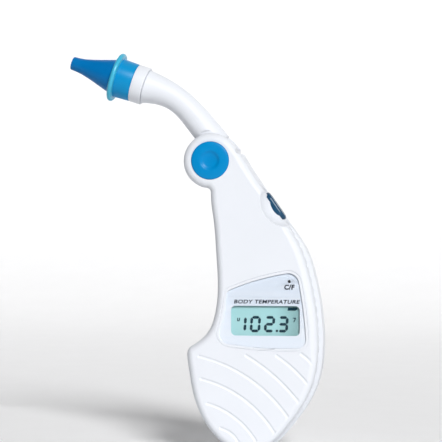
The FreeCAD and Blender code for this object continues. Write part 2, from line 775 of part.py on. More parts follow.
def pivot_cover():
    cover = rod(7.3, -3.4, -2.25)
    return cover.makeFillet(0.4, [e for e in cover.Edges if abs(e.Vertexes[0].Point.y + 2.25) < 0.01])


# ---------------------------------------------------------------- arm
def neck_loft(shrink):
    """The neck as a loft through ovals that turn with its middle line."""
    rings = []
    for (centre, across, through), angle in zip(NECK, NECK_HEADINGS):
        along = heading(angle)
        side = vec(along.z, 0, -along.x)
        a, b = across - shrink, through - shrink
        middle = at(centre, ARM_Y)
        if b > a + 1e-6:
            oval = Part.Ellipse(middle + Y_AXIS * b, middle + side * a, middle)
        else:
            oval = Part.Circle(middle, along, a)
        rings.append(Part.Wire(oval.toShape()))
    return Part.makeLoft(rings, True, False)


def probe_origin(distance=0.0):
    return at(COLLAR_AT, ARM_Y) + heading(PROBE_ANGLE) * distance


def arm_halves():
    hub = rod(HUB_R, HUB_FRONT, HUB_REAR)
    hub = hub.makeFillet(0.5, [e for e in hub.Edges if len(e.Vertexes) == 1])
    neck = neck_loft(0.0).cut(rod(12.6, FRONT_FAR, HUB_FRONT)).cut(rod(12.6, HUB_REAR, REAR_FAR))
    outer = hub.fuse(neck)
    spigot = revolve([(-0.5, 4.9), (3.4, 4.9), (3.4, 5.95), (-0.5, 5.95)], probe_origin(), heading(PROBE_ANGLE))
    outer = outer.fuse(spigot)
    bore = neck_loft(NECK_WALL).cut(rod(HUB_R + 0.1, FRONT_FAR, REAR_FAR))
    hub_room = tube(9.36, SLEEVE_R + 2.2, -13.4, -8.4).fuse(rod(9.36, -13.4, -11.0))
    entry_direction = heading(NECK_HEADINGS[0] + 180.0)
    entry_start = at(NECK[1][0], -12.2) - entry_direction * 2.0
    entry = Part.makeCylinder(1.4, 9.5, entry_start, entry_direction)
    cuts = [
        rod(9.36, FRONT_FAR, -14.7),
        hub_room,
        rod(SLEEVE_R + 0.05, -12.0, REAR_FAR),
        entry,
        bore,
    ]
    for cut in cuts:
        outer = outer.cut(cut)
    front = outer.common(block(-80, 60, FRONT_FAR, ARM_Y, -60, 80))
    rear = outer.common(block(-80, 60, ARM_Y, REAR_FAR, -60, 80))
    return front, rear


# Stations along the probe from the neck's end, and radii.
COLLAR_END = 5.2
RING_START = 12.2
CONE_START = 14.2
TIP_END = 33.4


def probe_collar():
    r = 8.0
    profile = [(0.1, 6.0), (0.1, r - 0.3), (0.4, r), (COLLAR_END - 0.05, r), (COLLAR_END - 0.05, 6.0)]
    return revolve(profile, probe_origin(), heading(PROBE_ANGLE))


def probe_base():
    profile = [
        (COLLAR_END, 5.2),
        (3.6, 5.2),
        (3.6, 5.95),
        (COLLAR_END, 5.95),
        (COLLAR_END, 8.05),
        (RING_START, 8.3),
        (RING_START, 5.2),
        (15.4, 5.2),
        (15.4, 4.0),
        (13.2, 4.0),
        (13.2, 5.1),
        (COLLAR_END, 5.1),
    ]
    return revolve(profile[1:], probe_origin(), heading(PROBE_ANGLE))


def stop_ring():
    r, half = 10.4, (CONE_START - RING_START) / 2
    middle = RING_START + half
    points = [vec(5.22, 0, middle - half), vec(r - half, 0, middle - half)]
    edges = [
        Part.LineSegment(points[0], points[1]).toShape(),
        Part.Arc(points[1], vec(r, 0, middle), vec(r - half, 0, middle + half)).toShape(),
        Part.LineSegment(vec(r - half, 0, middle + half), vec(5.22, 0, middle + half)).toShape(),
        Part.LineSegment(vec(5.22, 0, middle + half), points[0]).toShape(),
    ]
    ring = Part.Face(Part.Wire(edges)).revolve(vec(0, 0, 0), vec(0, 0, 1), 360)
    ring.Placement = FreeCAD.Placement(probe_origin(), FreeCAD.Rotation(vec(0, 0, 1), heading(PROBE_ANGLE)))
    return ring


def probe_cone():
    profile = [
        (CONE_START, 5.22),
        (CONE_START, 7.45),
        (22.0, 5.0),
        (28.6, 3.15),
        (TIP_END - 0.45, 2.8),
        (TIP_END, 2.4),
        (TIP_END, 1.76),
        (24.0, 1.76),
        (15.6, 5.22),
    ]
    return revolve(profile, probe_origin(), heading(PROBE_ANGLE))


def probe_window():
    rear, front = TIP_END - 0.9, TIP_END - 0.3
    profile = [(rear, 0), (rear, 1.74), (front, 1.74), (front, 0)]
    return revolve(profile, probe_origin(), heading(PROBE_ANGLE))


def wave_guide():
    end = TIP_END - 0.95
    profile = [(12.4, 1.35), (12.4, 1.7), (end, 1.7), (end, 1.35)]
    return revolve(profile, probe_origin(), heading(PROBE_ANGLE))


def sensor_holder():
    profile = [(5.6, 2.9), (5.6, 5.0), (13.1, 5.0), (13.1, 1.72), (11.4, 1.72), (11.4, 2.9)]
    return revolve(profile, probe_origin(), heading(PROBE_ANGLE))


def infrared_sensor():
    profile = [(7.2, 0), (7.2, 2.85), (8.0, 2.85), (8.0, 2.4), (11.0, 2.4), (11.0, 1.2), (11.2, 1.2), (11.2, 0)]
    return revolve(profile, probe_origin(), heading(PROBE_ANGLE))


def sensor_board():
    return revolve([(4.4, 0), (4.4, 4.8), (5.4, 4.8), (5.4, 0)], probe_origin(), heading(PROBE_ANGLE))


def sensor_pins():
    """The sensor's four wire legs, down to its board."""
    pins = []
    direction = heading(PROBE_ANGLE)
    side = vec(direction.z, 0, -direction.x)
    for k in range(4):
        angle = math.radians(45 + 90 * k)
        offset = side * (1.3 * math.cos(angle)) + Y_AXIS * (1.3 * math.sin(angle))
        pins.append(Part.makeCylinder(0.22, 1.8, probe_origin(5.4) + offset, direction))
    return Part.makeCompound(pins)


def arm_cable():
    points = [
        probe_origin(4.35),
        at((-23.2, 30.0), ARM_Y),
        at((-15.8, 26.3), ARM_Y),
        at((-10.2, 21.4), ARM_Y),
        at((-3.7, 13.4), -12.2),
        at((-0.9, 9.9), -12.25),
        at((0.0, 0.0), -12.3),
        at((0.0, 0.0), -7.4),
    ]
    return cable("arm_cable", points)


def body_cable():
    points = [
        at((0.0, 0.0), -7.4),
        at((0.0, 0.0), -4.3),
        at((1.15, -4.3), -4.3),
        at((2.1, -7.8), -4.3),
        at((4.2, -15.6), -5.0),
        at((6.0, -21.6), -9.0),
        at((8.6, -25.2), -13.2),
        at((9.4, -27.4), -13.9),
        at((9.4, -28.78), -13.9),
    ]
    return cable("body_cable", points)


# ---------------------------------------------------------------- screws
def screw(point, head_r, head_from, head_to, shank_r, tip_y):
    """A pan-head screw along Y, driven from behind, with a cross recess."""
    head = rod(head_r, head_from, head_to, point)
    head = head.makeFillet(0.4, [e for e in head.Edges if abs(e.Vertexes[0].Point.y - head_to) < 0.01])
    body = head.fuse(rod(shank_r, tip_y, head_from, point))
    x, z = point
    half = head_r * 0.62
    cross = block(x - half, x + half, head_to - 0.8, head_to + 1, z - 0.28, z + 0.28)
    cross = cross.fuse(block(x - 0.28, x + 0.28, head_to - 0.8, head_to + 1, z - half, z + half))
    return body.cut(cross)


def case_screws():
    return Part.makeCompound([screw(p, 2.3, -5.0, -3.3, 1.1, -21.0) for p in CASE_SCREWS])


def board_screws():
    return Part.makeCompound([screw(p, 1.6, BOARD_REAR, BOARD_REAR + 1.0, 0.8, -20.8) for p in BOARD_SCREWS])


# ---------------------------------------------------------------- build
def build():
    outline = case_outline()
    wide_outline = case_outline(RIM_STEP)
    room = cavity(outline)
    arm_front, arm_rear = arm_halves()
    return {
        "front_shell": front_shell(outline, room),
        "rear_shell": rear_shell(outline, wide_outline, room),
        "display_lens": display_lens(),
        "panel_label": panel_label(),
        "lcd_panel": lcd_panel(),
        "lcd_holder": lcd_holder(),
        "contact_strips": contact_strips(),
        "circuit_board": circuit_board(),
        "controller_chip": controller_chip(),
        "small_chips": small_chips(),
        "passives": passives(),
        "buzzer": buzzer(),
        "scan_switch": scan_switch(),
        "scan_switch_plunger": scan_switch_plunger(),
        "scan_button": scan_button(),
        "unit_switch": unit_switch(),
        "unit_plunger": unit_plunger(),
        "cable_socket": cable_socket(),
        "cable_plug": cable_plug(),
        "coin_cell": coin_cell(),
        "side_contact": side_contact(),
        "face_contact": face_contact(),
        "cell_door": cell_door(),
        "cell_door_seal": cell_door_seal(),
        "case_screws": case_screws(),
        "board_screws": board_screws(),
        "lock_button": lock_button(),
        "lock_spring": lock_spring(),
        "pivot_sleeve": pivot_sleeve(),
        "pivot_washer": pivot_washer(),
        "pivot_cover": pivot_cover(),
        "arm_front_half": arm_front,
        "arm_rear_half": arm_rear,
        "probe_collar": probe_collar(),
        "probe_base": probe_base(),
        "stop_ring": stop_ring(),
        "probe_cone": probe_cone(),
        "probe_window": probe_window(),
        "wave_guide": wave_guide(),
        "sensor_holder": sensor_holder(),
        "infrared_sensor": infrared_sensor(),
        "sensor_pins": sensor_pins(),
        "sensor_board": sensor_board(),
        "arm_cable": arm_cable(),
        "body_cable": body_cable(),
    }


def main():
    os.makedirs("parts", exist_ok=True)
    for name, shape in build().items():
        shape.translate(vec(PIVOT_X, 0, PIVOT_Z))
        if not shape.isValid():
            print("not valid:", name)
        print(f"{name}: {len(shape.Solids)} solids, {shape.Volume:.0f} mm3")
        shape.exportStep(f"parts/{name}.step")


main()
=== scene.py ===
"""Folding ear thermometer: its visible pieces, finishes and stage, laid out as a Blender add-on."""

import json
import math

import bmesh
import bpy
from bpy.props import FloatProperty, FloatVectorProperty, IntProperty, PointerProperty
from mathutils import Matrix, Vector
from mathutils.bvhtree import BVHTree


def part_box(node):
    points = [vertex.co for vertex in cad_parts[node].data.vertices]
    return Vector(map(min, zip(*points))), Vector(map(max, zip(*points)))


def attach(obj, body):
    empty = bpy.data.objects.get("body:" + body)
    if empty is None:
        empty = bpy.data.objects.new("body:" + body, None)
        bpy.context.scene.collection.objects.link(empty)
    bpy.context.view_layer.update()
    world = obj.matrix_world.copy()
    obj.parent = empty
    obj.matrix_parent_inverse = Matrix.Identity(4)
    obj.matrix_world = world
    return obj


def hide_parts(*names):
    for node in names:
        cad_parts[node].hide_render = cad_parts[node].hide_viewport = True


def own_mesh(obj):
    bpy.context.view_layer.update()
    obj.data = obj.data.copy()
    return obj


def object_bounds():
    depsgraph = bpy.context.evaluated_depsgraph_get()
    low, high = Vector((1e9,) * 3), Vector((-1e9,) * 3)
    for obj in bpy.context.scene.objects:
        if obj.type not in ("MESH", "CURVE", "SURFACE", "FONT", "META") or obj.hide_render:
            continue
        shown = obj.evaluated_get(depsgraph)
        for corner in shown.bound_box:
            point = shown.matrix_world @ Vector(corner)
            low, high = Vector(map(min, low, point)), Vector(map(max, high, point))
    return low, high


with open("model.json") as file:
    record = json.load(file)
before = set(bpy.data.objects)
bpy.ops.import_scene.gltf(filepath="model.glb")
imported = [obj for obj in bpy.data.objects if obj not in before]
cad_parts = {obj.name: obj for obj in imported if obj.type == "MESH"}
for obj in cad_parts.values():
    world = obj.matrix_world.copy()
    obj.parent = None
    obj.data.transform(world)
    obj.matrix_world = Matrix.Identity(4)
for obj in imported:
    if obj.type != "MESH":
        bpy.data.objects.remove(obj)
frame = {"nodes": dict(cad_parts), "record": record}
CAD_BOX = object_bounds()

bl_info = {
    "name": "Folding ear thermometer",
    "version": (1, 0, 0),
    "blender": (4, 5, 0),
    "location": "View3D > Sidebar > Thermometer",
    "description": "Builds the case, arm, probe, display and stage of a folding ear thermometer",
    "category": "Object",
}

MM = 0.001
MERGE = 1e-7


# ---------------------------------------------------------------- places read from the frame
def joint(name):
    return next(j for j in frame["record"]["behaviour"]["joints"] if j["name"] == name)


def middle(node):
    low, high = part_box(node)
    return (Vector(low) + Vector(high)) / 2


PIVOT = Vector(joint("arm_fold")["pos_m"])
PROBE_TURN = math.radians(162.0)
PROBE_AXIS = Vector((math.cos(PROBE_TURN), 0, math.sin(PROBE_TURN)))
COLLAR_FROM_PIVOT = Vector((-28.6, 0, 31.6)) * MM
PROBE_FOOT = PIVOT + COLLAR_FROM_PIVOT
WINDOW = middle("lcd_panel")

# Places along the probe from the collar's foot, and its bores, in millimetres.
COLLAR_START = 0.1
COLLAR_END = 5.15
COLLAR_RADIUS = 8.0
COLLAR_BORE = 6.0
SLEEVE_START = 5.2
SLEEVE_RADII = (8.0, 8.3)
RING_START = 12.2
RING_ROUND = 0.9
CONE_START = 14.2
CONE_FOOT_RADIUS = 7.45
CONE_STATIONS = ((18.5, 6.1), (22.0, 5.0), (25.5, 4.0), (28.4, 3.3), (30.8, 2.98))
CONE_TIP = 33.4
PROBE_BORE = 5.3
TIP_BORE = 1.76
TIP_BORE_START = 24.0
CONE_HOLLOW_START = 15.6


# ---------------------------------------------------------------- sizes and colours
class THERMO_PG_sizes(bpy.types.PropertyGroup):
    tip_radius: FloatProperty(
        name="Tip radius", description="Radius of the probe's open end", default=0.0028, unit="LENGTH"
    )
    ring_radius: FloatProperty(
        name="Stop ring radius", description="Radius of the cyan stop ring", default=0.0104, unit="LENGTH"
    )
    button_radius: FloatProperty(
        name="Release button radius", description="Radius of the round release button",
        default=0.0079, unit="LENGTH",
    )
    dish_radius: FloatProperty(
        name="Dish radius", description="Radius of the finger dish in the release button",
        default=0.004, unit="LENGTH",
    )
    digit_height: FloatProperty(
        name="Digit height", description="Height of the display's digits", default=0.0067, unit="LENGTH"
    )
    digit_lean: FloatProperty(
        name="Digit lean", description="Slant of the display's digits",
        default=math.radians(4), subtype="ANGLE",
    )
    segment_width: FloatProperty(
        name="Segment width", description="Width of one bar of a digit", default=0.00112, unit="LENGTH"
    )
    spin_steps: IntProperty(
        name="Turned steps", description="Steps in the round of a turned piece", default=96, min=24, max=256
    )


def colour_prop(name, words, value):
    return FloatVectorProperty(
        name=name, description=words, subtype="COLOR", size=3, min=0, max=1, default=value
    )


class THERMO_PG_colours(bpy.types.PropertyGroup):
    case: colour_prop("Case white", "Moulded case and arm", (0.775, 0.8, 0.85))
    base: colour_prop("Base blue", "Probe base", (0.0, 0.265, 0.57))
    probe: colour_prop("Cone blue", "Probe cone", (0.0, 0.165, 0.46))
    release: colour_prop("Release blue", "Round release button", (0.0, 0.24, 0.56))
    # The scan colour holds painted shade: the button's own blue, darkened to a near-black navy as if in
    # shadow.
    scan: colour_prop("Scan blue", "Scan button", (0.006, 0.06, 0.13))
    ring: colour_prop("Ring cyan", "Stop ring", (0.05, 0.47, 0.68))
    panel: colour_prop("Panel grey", "Printed panel round the display", (0.7, 0.75, 0.825))
    liquid: colour_prop("Display green", "The display's unlit ground", (0.41, 0.69, 0.68))
    ink: colour_prop("Ink", "Printed marks", (0.03, 0.035, 0.05))
    floor: colour_prop("Floor", "Pale floor and backdrop", (0.96, 0.96, 0.965))


class THERMO_PG_stage(bpy.types.PropertyGroup):
    azimuth: FloatProperty(
        name="Camera azimuth", description="Camera's turn to the right of the front",
        default=math.radians(8), subtype="ANGLE",
    )
    distance: FloatProperty(
        name="Camera distance", description="Camera to the case's front", default=0.75, unit="LENGTH"
    )
    view_width: FloatProperty(
        name="View width", description="Width seen at the case's front", default=0.1834, unit="LENGTH"
    )
    aim: FloatVectorProperty(
        name="Aim", description="Point the camera looks at", subtype="TRANSLATION",
        default=(-0.0189, -0.021, 0.0415),
    )
    key_power: FloatProperty(
        name="Key light", description="Power of the large key light", default=0.5, min=0, unit="POWER"
    )
    fill_power: FloatProperty(
        name="Fill light", description="Power of the side fill", default=0.02, min=0, unit="POWER"
    )
    top_power: FloatProperty(
        name="Top light", description="Power of the top light", default=0.4, min=0, unit="POWER"
    )
    sun_power: FloatProperty(
        name="Front light", description="Strength of the broad front light", default=2.95, min=0
    )
    room_power: FloatProperty(
        name="Room light", description="Strength of the even room light", default=0.03, min=0
    )


def sizes():
    return bpy.context.scene.thermo_sizes


def colours():
    return bpy.context.scene.thermo_colours


# ---------------------------------------------------------------- shader node helpers
PLASTIC_IOR = 1.52
LENS_IOR = 1.25
ROUGHNESS_SPREAD = 0.05
METAL_BUMP = 6e-6


def add(tree, kind, **settings):
    node = tree.nodes.new(kind)
    for key, value in settings.items():
        if key in node.inputs:
            node.inputs[key].default_value = value
        else:
            setattr(node, key, value)
    return node


def noise(tree, coords, scale, detail=3.0, roughness=0.5):
    node = add(tree, "ShaderNodeTexNoise", Scale=scale, Detail=detail, Roughness=roughness)
    tree.links.new(coords, node.inputs["Vector"])
    return node.outputs["Fac"]


def ramp(tree, value, low, high, out_low=0.0, out_high=1.0):
    node = add(tree, "ShaderNodeMapRange", clamp=True)
    for index, number in enumerate((low, high, out_low, out_high)):
        node.inputs[index + 1].default_value = number
    tree.links.new(value, node.inputs["Value"])
    return node.outputs["Result"]


def maths(tree, operation, first, second):
    node = add(tree, "ShaderNodeMath", operation=operation)
    for socket, value in zip(node.inputs, (first, second)):
        if isinstance(value, (int, float)):
            socket.default_value = value
        else:
            tree.links.new(value, socket)
    return node.outputs[0]


def mix_colour(tree, factor, first, second, blend="MIX"):
    node = add(tree, "ShaderNodeMix", data_type="RGBA", blend_type=blend)
    colour_first, colour_second = node.inputs[6], node.inputs[7]
    given = ((node.inputs["Factor"], factor), (colour_first, first), (colour_second, second))
    for socket, value in given:
        if isinstance(value, bpy.types.NodeSocket):
            tree.links.new(value, socket)
        elif isinstance(value, (int, float)):
            socket.default_value = value
        else:
            socket.default_value = (*value, 1.0)
    return node.outputs[2]


def new_group(name, inputs, outputs):
    group = bpy.data.node_groups.new(name, "ShaderNodeTree")
    for label, kind, value in inputs:
        socket = group.interface.new_socket(name=label, in_out="INPUT", socket_type="NodeSocket" + kind)
        if value is not None:
            socket.default_value = value
    for label, kind in outputs:
        group.interface.new_socket(name=label, in_out="OUTPUT", socket_type="NodeSocket" + kind)
    return group, group.nodes.new("NodeGroupInput").outputs, group.nodes.new("NodeGroupOutput").inputs


def moulded_skin():
    """Moulded plastic: faint flow clouding, fine orange peel and hairline handling marks."""
    name = "moulded_skin"
    if name in bpy.data.node_groups:
        return bpy.data.node_groups[name]
    group, given, out = new_group(
        name,
        [
            ("Colour", "Color", (0.8, 0.8, 0.8, 1)),
            ("Clouding", "Float", 0.03),
            ("Roughness", "Float", 0.3),
            ("Roughness Spread", "Float", 0.08),
            ("Peel", "Float", 0.5),
            ("Marks", "Float", 0.3),
        ],
        [("Colour", "Color"), ("Roughness", "Float"), ("Height", "Float")],
    )
    link = group.links.new
    coords = add(group, "ShaderNodeTexCoord").outputs["Object"]
    cloud = noise(group, coords, 38.0, 4.0, 0.6)
    shade = maths(group, "MULTIPLY", ramp(group, cloud, 0.3, 0.7, -1.0, 1.0), given["Clouding"])
    bright = maths(group, "ADD", shade, 1.0)
    tint = add(group, "ShaderNodeCombineColor")
    for channel in range(3):
        link(bright, tint.inputs[channel])
    link(mix_colour(group, 1.0, given["Colour"], tint.outputs[0], "MULTIPLY"), out["Colour"])
    stretch = add(group, "ShaderNodeMapping")
    stretch.inputs["Scale"].default_value = (900.0, 900.0, 60.0)
    stretch.inputs["Rotation"].default_value = (0.4, 0.7, 0.5)
    link(coords, stretch.inputs["Vector"])
    hair = ramp(group, noise(group, stretch.outputs[0], 1.0, 2.0), 0.66, 0.76)
    patch = ramp(group, noise(group, coords, 110.0, 2.0), 0.45, 0.65)
    marks = maths(group, "MULTIPLY", maths(group, "MULTIPLY", hair, patch), given["Marks"])
    uneven = ramp(group, noise(group, coords, 260.0, 5.0), 0.3, 0.7, -1.0, 1.0)
    spread = maths(group, "MULTIPLY", uneven, given["Roughness Spread"])
    rough = maths(group, "ADD", given["Roughness"], spread)
    link(maths(group, "ADD", rough, maths(group, "MULTIPLY", marks, 0.25)), out["Roughness"])
    peel = maths(group, "MULTIPLY", noise(group, coords, 1500.0, 2.0), given["Peel"])
    link(maths(group, "SUBTRACT", peel, maths(group, "MULTIPLY", marks, 0.5)), out["Height"])
    return group


def metal_grain():
    """Plated or drawn metal: streaks along one axis, dull spots and fine bumps."""
    name = "metal_grain"
    if name in bpy.data.node_groups:
        return bpy.data.node_groups[name]
    group, given, out = new_group(
        name,
        [("Colour", "Color", (0.7, 0.7, 0.7, 1)), ("Roughness", "Float", 0.3), ("Streak", "Float", 0.15)],
        [("Colour", "Color"), ("Roughness", "Float"), ("Height", "Float")],
    )
    link = group.links.new
    coords = add(group, "ShaderNodeTexCoord").outputs["Object"]
    stretch = add(group, "ShaderNodeMapping")
    stretch.inputs["Scale"].default_value = (2600.0, 180.0, 2600.0)
    link(coords, stretch.inputs["Vector"])
    streak = maths(group, "MULTIPLY", noise(group, stretch.outputs[0], 1.0, 3.0), given["Streak"])
    dull = ramp(group, noise(group, coords, 320.0, 4.0), 0.45, 0.75, 0.0, 0.35)
    link(mix_colour(group, dull, given["Colour"], (0.25, 0.24, 0.23)), out["Colour"])
    rough = maths(group, "ADD", given["Roughness"], streak)
    link(maths(group, "ADD", rough, maths(group, "MULTIPLY", dull, 0.4)), out["Roughness"])
    link(streak, out["Height"])
    return group


def blank_material(name):
    material = bpy.data.materials.new(name)
    material.use_nodes = True
    tree = material.node_tree
    tree.nodes.clear()
    shader = tree.nodes.new("ShaderNodeBsdfPrincipled")
    output = tree.nodes.new("ShaderNodeOutputMaterial")
    tree.links.new(shader.outputs[0], output.inputs["Surface"])
    return material, tree, shader, output


def feed(tree, shader, group_node, bump_distance):
    """Joins a finish group to a shader, its height through a bump node."""
    tree.links.new(group_node.outputs["Colour"], shader.inputs["Base Color"])
    tree.links.new(group_node.outputs["Roughness"], shader.inputs["Roughness"])
    bump = add(tree, "ShaderNodeBump", Strength=1.0, Distance=bump_distance)
    tree.links.new(group_node.outputs["Height"], bump.inputs["Height"])
    tree.links.new(bump.outputs[0], shader.inputs["Normal"])


def moulded(name, colour, rough, peel, cloud, marks, bump=4e-6, **sockets):
    """A plain moulded plastic; sockets holds values for the shader's own sockets."""
    if name in bpy.data.materials:
        return bpy.data.materials[name]
    material, tree, shader, _ = blank_material(name)
    skin = tree.nodes.new("ShaderNodeGroup")
    skin.node_tree = moulded_skin()
    values = {
        "Clouding": cloud, "Roughness": rough, "Roughness Spread": ROUGHNESS_SPREAD, "Peel": peel,
        "Marks": marks,
    }
    for key, value in values.items():
        skin.inputs[key].default_value = value
    skin.inputs["Colour"].default_value = (*colour, 1.0)
    feed(tree, shader, skin, bump)
    shader.inputs["IOR"].default_value = PLASTIC_IOR
    for key, value in sockets.items():
        shader.inputs[key.replace("_", " ")].default_value = value
    return material


def metal(name, colour, rough):
    if name in bpy.data.materials:
        return bpy.data.materials[name]
    material, tree, shader, _ = blank_material(name)
    grain = tree.nodes.new("ShaderNodeGroup")
    grain.node_tree = metal_grain()
    grain.inputs["Colour"].default_value = (*colour, 1.0)
    grain.inputs["Roughness"].default_value = rough
    feed(tree, shader, grain, METAL_BUMP)
    shader.inputs["Metallic"].default_value = 1.0
    return material


def case_white():
    """White moulding with a low sheen."""
    return moulded(
        "case_moulding", colours().case, 0.42, peel=0.6, cloud=0.012, marks=0.08, Specular_IOR_Level=0.2
    )


def base_blue():
    return moulded(
        "base_moulding", colours().base, 0.34, peel=0.5, cloud=0.05, marks=0.2, Specular_IOR_Level=0.2
    )


def probe_blue():
    return moulded(
        "cone_moulding", colours().probe, 0.36, peel=0.5, cloud=0.06, marks=0.2, Specular_IOR_Level=0.15
    )


# Painted shade: the scan button's blue plastic is given the near-black scan colour, as if it lay in shadow.
def shaded_scan_blue():
    return moulded("scan_moulding", colours().scan, 0.3, peel=0.4, cloud=0.05, marks=0.3)


def release_blue():
    return moulded(
        "release_moulding", colours().release, 0.32, peel=0.35, cloud=0.05, marks=0.2, Specular_IOR_Level=0.15
    )


def ring_cyan():
    return moulded(
        "ring_moulding", colours().ring, 0.33, peel=0.4, cloud=0.05, marks=0.3,
        Subsurface_Weight=0.15, Subsurface_Scale=0.0005, Subsurface_Radius=(0.3, 0.9, 1.0),
    )


def lens_clear():
    """Clear hard-coated acrylic that lets the light through to the print below."""
    name = "lens_clear"
    if name in bpy.data.materials:
        return bpy.data.materials[name]
    material, tree, shader, output = blank_material(name)
    coords = add(tree, "ShaderNodeTexCoord").outputs["Object"]
    shader.inputs["Base Color"].default_value = (0.97, 0.985, 1.0, 1.0)
    shader.inputs["Transmission Weight"].default_value = 1.0
    shader.inputs["IOR"].default_value = LENS_IOR
    rough = ramp(tree, noise(tree, coords, 210.0, 5.0), 0.45, 0.8, 0.02, 0.07)
    tree.links.new(rough, shader.inputs["Roughness"])
    bump = add(tree, "ShaderNodeBump", Strength=0.4, Distance=2e-6)
    tree.links.new(noise(tree, coords, 700.0, 2.0), bump.inputs["Height"])
    tree.links.new(bump.outputs[0], shader.inputs["Normal"])
    clear = tree.nodes.new("ShaderNodeBsdfTransparent")
    clear.inputs["Color"].default_value = (0.96, 0.975, 0.99, 1.0)
    path = tree.nodes.new("ShaderNodeLightPath")
    blend = tree.nodes.new("ShaderNodeMixShader")
    unseen = maths(tree, "MAXIMUM", path.outputs["Is Shadow Ray"], path.outputs["Is Diffuse Ray"])
    tree.links.new(unseen, blend.inputs[0])
    tree.links.new(shader.outputs[0], blend.inputs[1])
    tree.links.new(clear.outputs[0], blend.inputs[2])
    tree.links.new(blend.outputs[0], output.inputs["Surface"])
    return material


def printed_panel():
    """Fine-grained printed film, a little lighter towards its lower edge."""
    name = "printed_panel"
    if name in bpy.data.materials:
        return bpy.data.materials[name]
    material, tree, shader, _ = blank_material(name)
    coords = add(tree, "ShaderNodeTexCoord").outputs["Object"]
    split = add(tree, "ShaderNodeSeparateXYZ")
    tree.links.new(coords, split.inputs[0])
    fade = ramp(tree, split.outputs["Z"], -0.011, 0.02, 0.0, 1.0)
    base = Vector(colours().panel)
    pale = base.lerp(Vector((0.86, 0.87, 0.9)), 0.6)
    shade = mix_colour(tree, fade, tuple(pale), tuple(base))
    speck = ramp(tree, noise(tree, coords, 5200.0, 2.0), 0.35, 0.65, 0.0, 0.07)
    tree.links.new(mix_colour(tree, speck, shade, (0.5, 0.53, 0.6)), shader.inputs["Base Color"])
    matt = ramp(tree, noise(tree, coords, 900.0, 3.0), 0.3, 0.7, 0.45, 0.6)
    tree.links.new(matt, shader.inputs["Roughness"])
    return material


def liquid_crystal():
    """The display's ground: pale green-grey, with painted shade darkening it to the right and a painted
    shadow of the window's edge along its top.
    """
    name = "liquid_crystal"
    if name in bpy.data.materials:
        return bpy.data.materials[name]
    material, tree, shader, _ = blank_material(name)
    coords = add(tree, "ShaderNodeTexCoord").outputs["Object"]
    split = add(tree, "ShaderNodeSeparateXYZ")
    tree.links.new(coords, split.inputs[0])
    base = Vector(colours().liquid)
    # Painted shade: the ground darkens towards its right-hand side.
    right = ramp(tree, split.outputs["X"], WINDOW.x + 0.004, WINDOW.x + 0.0145, 0.0, 0.85)
    shade = mix_colour(tree, right, tuple(base), tuple(base * 0.52))
    # Painted shadow: a band along the top of the ground is darkened as if the window's top edge shaded it.
    window_edge_shadow = ramp(tree, split.outputs["Z"], WINDOW.z + 0.0045, WINDOW.z + 0.006, 0.0, 0.45)
    shade = mix_colour(tree, window_edge_shadow, shade, tuple(base * 0.45))
    fleck = ramp(tree, noise(tree, coords, 3600.0, 2.0), 0.4, 0.62, 0.0, 0.16)
    tree.links.new(mix_colour(tree, fleck, shade, tuple(base * 0.7)), shader.inputs["Base Color"])
    sheen = ramp(tree, noise(tree, coords, 1400.0, 2.0), 0.3, 0.7, 0.3, 0.42)
    tree.links.new(sheen, shader.inputs["Roughness"])
    return material


def ink_material(name, colour, rough):
    """Printed ink, a little thin in places."""
    if name in bpy.data.materials:
        return bpy.data.materials[name]
    material, tree, shader, _ = blank_material(name)
    coords = add(tree, "ShaderNodeTexCoord").outputs["Object"]
    thin = ramp(tree, noise(tree, coords, 2600.0, 3.0), 0.5, 0.8, 0.0, 0.25)
    lighter = tuple(min(1.0, c * 2.2 + 0.03) for c in colour)
    tree.links.new(mix_colour(tree, thin, tuple(colour), lighter), shader.inputs["Base Color"])
    matt = ramp(tree, noise(tree, coords, 1800.0, 2.0), 0.3, 0.7, rough - 0.06, rough + 0.06)
    tree.links.new(matt, shader.inputs["Roughness"])
    shader.inputs["Specular IOR Level"].default_value = 0.15
    return material


def board_finish():
    """Solder mask over copper tracks."""
    name = "board_mask"
    if name in bpy.data.materials:
        return bpy.data.materials[name]
    material, tree, shader, _ = blank_material(name)
    coords = add(tree, "ShaderNodeTexCoord").outputs["Object"]
    tracks = add(tree, "ShaderNodeTexBrick", Scale=260.0)
    for key, value in (("Mortar Size", 0.12), ("Brick Width", 1.4), ("Row Height", 0.35)):
        tracks.inputs[key].default_value = value
    tree.links.new(coords, tracks.inputs["Vector"])
    mask = mix_colour(tree, tracks.outputs["Fac"], (0.01, 0.11, 0.045), (0.02, 0.2, 0.08))
    tree.links.new(mask, shader.inputs["Base Color"])
    tree.links.new(ramp(tree, noise(tree, coords, 500.0), 0.3, 0.7, 0.3, 0.45), shader.inputs["Roughness"])
    bump = add(tree, "ShaderNodeBump", Strength=0.6, Distance=2e-5)
    tree.links.new(tracks.outputs["Fac"], bump.inputs["Height"])
    tree.links.new(bump.outputs[0], shader.inputs["Normal"])
    return material


# ---------------------------------------------------------------- mesh helpers
def place_piece(name, mesh, material, body):
    """An object at the origin that shows a mesh in one material and rides on a body."""
    mesh.materials.clear()
    mesh.materials.append(material)
    piece = bpy.data.objects.new(name, mesh)
    bpy.context.scene.collection.objects.link(piece)
    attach(piece, body)
    return piece


def smooth_mesh(name, bm, smooth_angle):
    mesh = bpy.data.meshes.new(name)
    bm.to_mesh(mesh)
    bm.free()
    mesh.polygons.foreach_set("material_index", [0] * len(mesh.polygons))
    mesh.shade_smooth()
    mesh.set_sharp_from_angle(angle=math.radians(smooth_angle))
    return mesh


def make_object(name, bm, material, body, smooth_angle=35.0):
    """A piece from a bmesh, its doubles merged and its faces turned outwards."""
    bmesh.ops.remove_doubles(bm, verts=bm.verts, dist=MERGE)
    bmesh.ops.recalc_face_normals(bm, faces=bm.faces)
    return place_piece(name, smooth_mesh(name, bm, smooth_angle), material, body)


